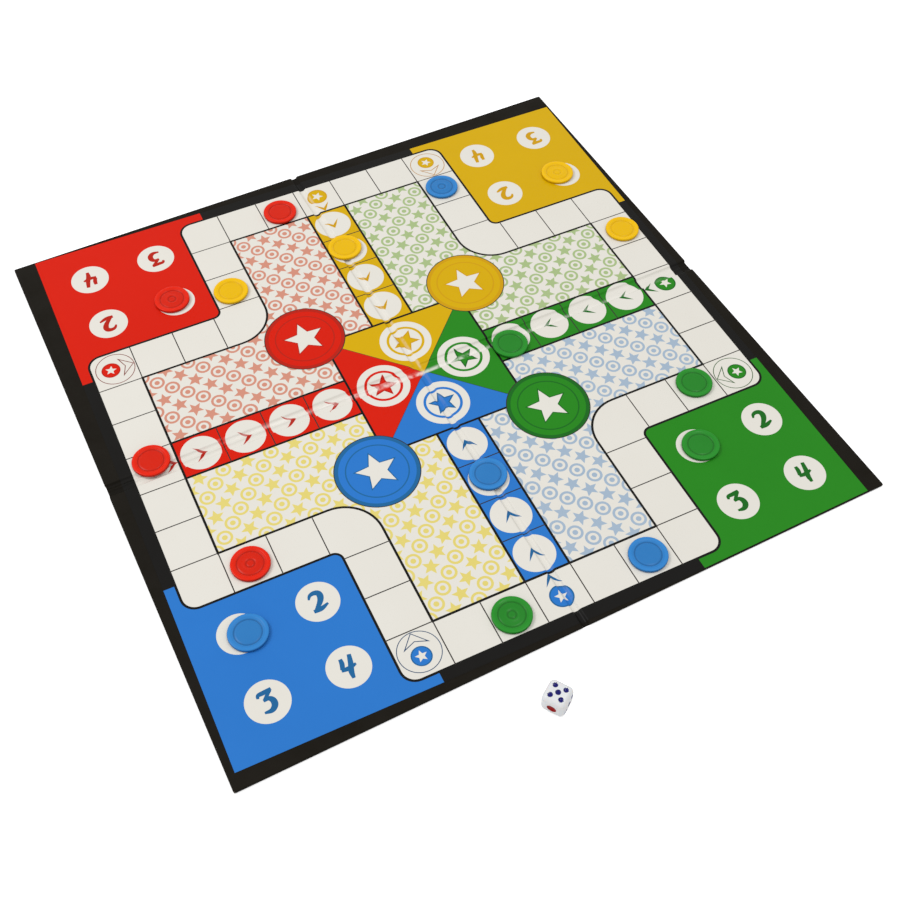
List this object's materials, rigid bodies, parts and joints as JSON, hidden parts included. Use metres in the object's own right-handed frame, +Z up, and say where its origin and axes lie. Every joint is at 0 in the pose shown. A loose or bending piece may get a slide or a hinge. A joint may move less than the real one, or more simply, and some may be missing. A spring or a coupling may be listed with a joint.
{
  "type": "folding ludo board with counters and die",
  "caption": "Ludo board of hinged chipboard panels under a printed label, wrapped in black leatherette, that folds twice to a quarter of its size, with round counters and a die.",
  "frame": {"origin": "centre of the open board, where its two fold lines cross, on its underside", "axes": "+Z up out of the printed face; +X along the front edge from the blue panel to the green one; +Y from the blue panel to the red one"},
  "size_m": [0.357, 0.3921, 0.012],
  "materials": {
    "chipboard": "bare grey-brown recycled board",
    "wrap_black": "black fine-grain leatherette, low sheen",
    "label_print": "printed paper with a satin laminate, in red, yellow, green, blue, white and black",
    "counter_red": "moulded, satin",
    "counter_yellow": "moulded, satin",
    "counter_blue": "moulded, satin",
    "counter_green": "moulded, satin",
    "die_white": "polished white resin",
    "pip_blue": "paint",
    "pip_red": "paint"
  },
  "bodies": {
    "panel_green": {"core_green": "chipboard", "wrap_green": "wrap_black", "label_green": "label_print"},
    "panel_blue": {"core_blue": "chipboard", "wrap_blue": "wrap_black", "label_blue": "label_print"},
    "panel_yellow": {"core_yellow": "chipboard", "wrap_yellow": "wrap_black", "label_yellow": "label_print"},
    "panel_red": {"core_red": "chipboard", "wrap_red": "wrap_black", "label_red": "label_print"},
    "counter_blue_1": {"counter_blue_1": "counter_blue"},
    "counter_blue_2": {"counter_blue_2": "counter_blue"},
    "counter_blue_3": {"counter_blue_3": "counter_blue"},
    "counter_blue_4": {"counter_blue_4": "counter_blue"},
    "counter_green_1": {"counter_green_1": "counter_green"},
    "counter_green_2": {"counter_green_2": "counter_green"},
    "counter_green_3": {"counter_green_3": "counter_green"},
    "counter_green_4": {"counter_green_4": "counter_green"},
    "counter_red_1": {"counter_red_1": "counter_red"},
    "counter_red_2": {"counter_red_2": "counter_red"},
    "counter_red_3": {"counter_red_3": "counter_red"},
    "counter_red_4": {"counter_red_4": "counter_red"},
    "counter_yellow_1": {"counter_yellow_1": "counter_yellow"},
    "counter_yellow_2": {"counter_yellow_2": "counter_yellow"},
    "counter_yellow_3": {"counter_yellow_3": "counter_yellow"},
    "counter_yellow_4": {"counter_yellow_4": "counter_yellow"},
    "die": {"die_body": "die_white", "die_paint_blue": "pip_blue", "die_paint_red": "pip_red"}
  },
  "joints": [
    {"name": "half_fold", "type": "hinge", "parent": "panel_green", "child": "panel_blue", "pos_m": [0, 0, 0.0019], "axis": [0, 1, 0], "range_deg": [0, 180]},
    {"name": "quarter_fold", "type": "hinge", "parent": "panel_green", "child": "panel_yellow", "pos_m": [0, 0, 0.0039], "axis": [1, 0, 0], "range_deg": [0, 180]},
    {"name": "half_fold_far", "type": "hinge", "parent": "panel_yellow", "child": "panel_red", "pos_m": [0, 0, 0.0019], "axis": [0, 1, 0], "range_deg": [0, 180]},
    {"name": "take_blue_1", "type": "slide", "parent": "panel_yellow", "child": "counter_blue_1", "axis": [1, 0, 0], "range_m": [0, 0.1129]},
    {"name": "take_blue_2", "type": "slide", "parent": "panel_blue", "child": "counter_blue_2", "axis": [-1, 0, 0], "range_m": [0, 0.0693]},
    {"name": "take_blue_3", "type": "slide", "parent": "panel_green", "child": "counter_blue_3", "axis": [0.992, 0, 0.1263], "range_m": [0, 0.2597]},
    {"name": "take_blue_4", "type": "slide", "parent": "panel_green", "child": "counter_blue_4", "axis": [1, 0, 0], "range_m": [0, 0.1445]},
    {"name": "take_green_1", "type": "slide", "parent": "panel_green", "child": "counter_green_1", "axis": [1, 0, 0], "range_m": [0, 0.138]},
    {"name": "take_green_2", "type": "slide", "parent": "panel_green", "child": "counter_green_2", "axis": [1, 0, 0], "range_m": [0, 0.0832]},
    {"name": "take_green_3", "type": "slide", "parent": "panel_green", "child": "counter_green_3", "axis": [1, 0, 0], "range_m": [0, 0.0622]},
    {"name": "take_green_4", "type": "slide", "parent": "panel_blue", "child": "counter_green_4", "axis": [-1, 0, 0], "range_m": [0, 0.1845]},
    {"name": "take_red_1", "type": "slide", "parent": "panel_red", "child": "counter_red_1", "axis": [-1, 0, 0], "range_m": [0, 0.1934]},
    {"name": "take_red_2", "type": "slide", "parent": "panel_red", "child": "counter_red_2", "axis": [-1, 0, 0], "range_m": [0, 0.1318]},
    {"name": "take_red_3", "type": "slide", "parent": "panel_red", "child": "counter_red_3", "axis": [-1, 0, 0], "range_m": [0, 0.0613]},
    {"name": "take_red_4", "type": "slide", "parent": "panel_blue", "child": "counter_red_4", "axis": [-1, 0, 0], "range_m": [0, 0.0842]},
    {"name": "take_yellow_1", "type": "slide", "parent": "panel_red", "child": "counter_yellow_1", "axis": [-1, 0, 0], "range_m": [0, 0.1425]},
    {"name": "take_yellow_2", "type": "slide", "parent": "panel_yellow", "child": "counter_yellow_2", "axis": [1, 0, 0], "range_m": [0, 0.0418]},
    {"name": "take_yellow_3", "type": "slide", "parent": "panel_yellow", "child": "counter_yellow_3", "axis": [0.9956, 0, 0.0934], "range_m": [0, 0.256]},
    {"name": "take_yellow_4", "type": "slide", "parent": "panel_yellow", "child": "counter_yellow_4", "axis": [1, 0, 0], "range_m": [0, 0.0327]},
    {"name": "take_die", "type": "slide", "parent": "panel_green", "child": "die", "axis": [0, 0, 1], "range_m": [0, 0.06]}
  ],
  "couplings": [
    {"joint": "half_fold_far", "follows": "half_fold", "ratio": 1},
    {"joint": "take_blue_1", "follows": "half_fold", "m_per_rad": 0.035937},
    {"joint": "take_blue_2", "follows": "half_fold", "m_per_rad": 0.022059},
    {"joint": "take_blue_3", "follows": "half_fold", "m_per_rad": 0.082665},
    {"joint": "take_blue_4", "follows": "half_fold", "m_per_rad": 0.045996},
    {"joint": "take_green_1", "follows": "half_fold", "m_per_rad": 0.043927},
    {"joint": "take_green_2", "follows": "half_fold", "m_per_rad": 0.026483},
    {"joint": "take_green_3", "follows": "half_fold", "m_per_rad": 0.019799},
    {"joint": "take_green_4", "follows": "half_fold", "m_per_rad": 0.058728},
    {"joint": "take_red_1", "follows": "half_fold", "m_per_rad": 0.061561},
    {"joint": "take_red_2", "follows": "half_fold", "m_per_rad": 0.041953},
    {"joint": "take_red_3", "follows": "half_fold", "m_per_rad": 0.019512},
    {"joint": "take_red_4", "follows": "half_fold", "m_per_rad": 0.026802},
    {"joint": "take_yellow_1", "follows": "half_fold", "m_per_rad": 0.045359},
    {"joint": "take_yellow_2", "follows": "half_fold", "m_per_rad": 0.013305},
    {"joint": "take_yellow_3", "follows": "half_fold", "m_per_rad": 0.081487},
    {"joint": "take_yellow_4", "follows": "half_fold", "m_per_rad": 0.010409}
  ]
}
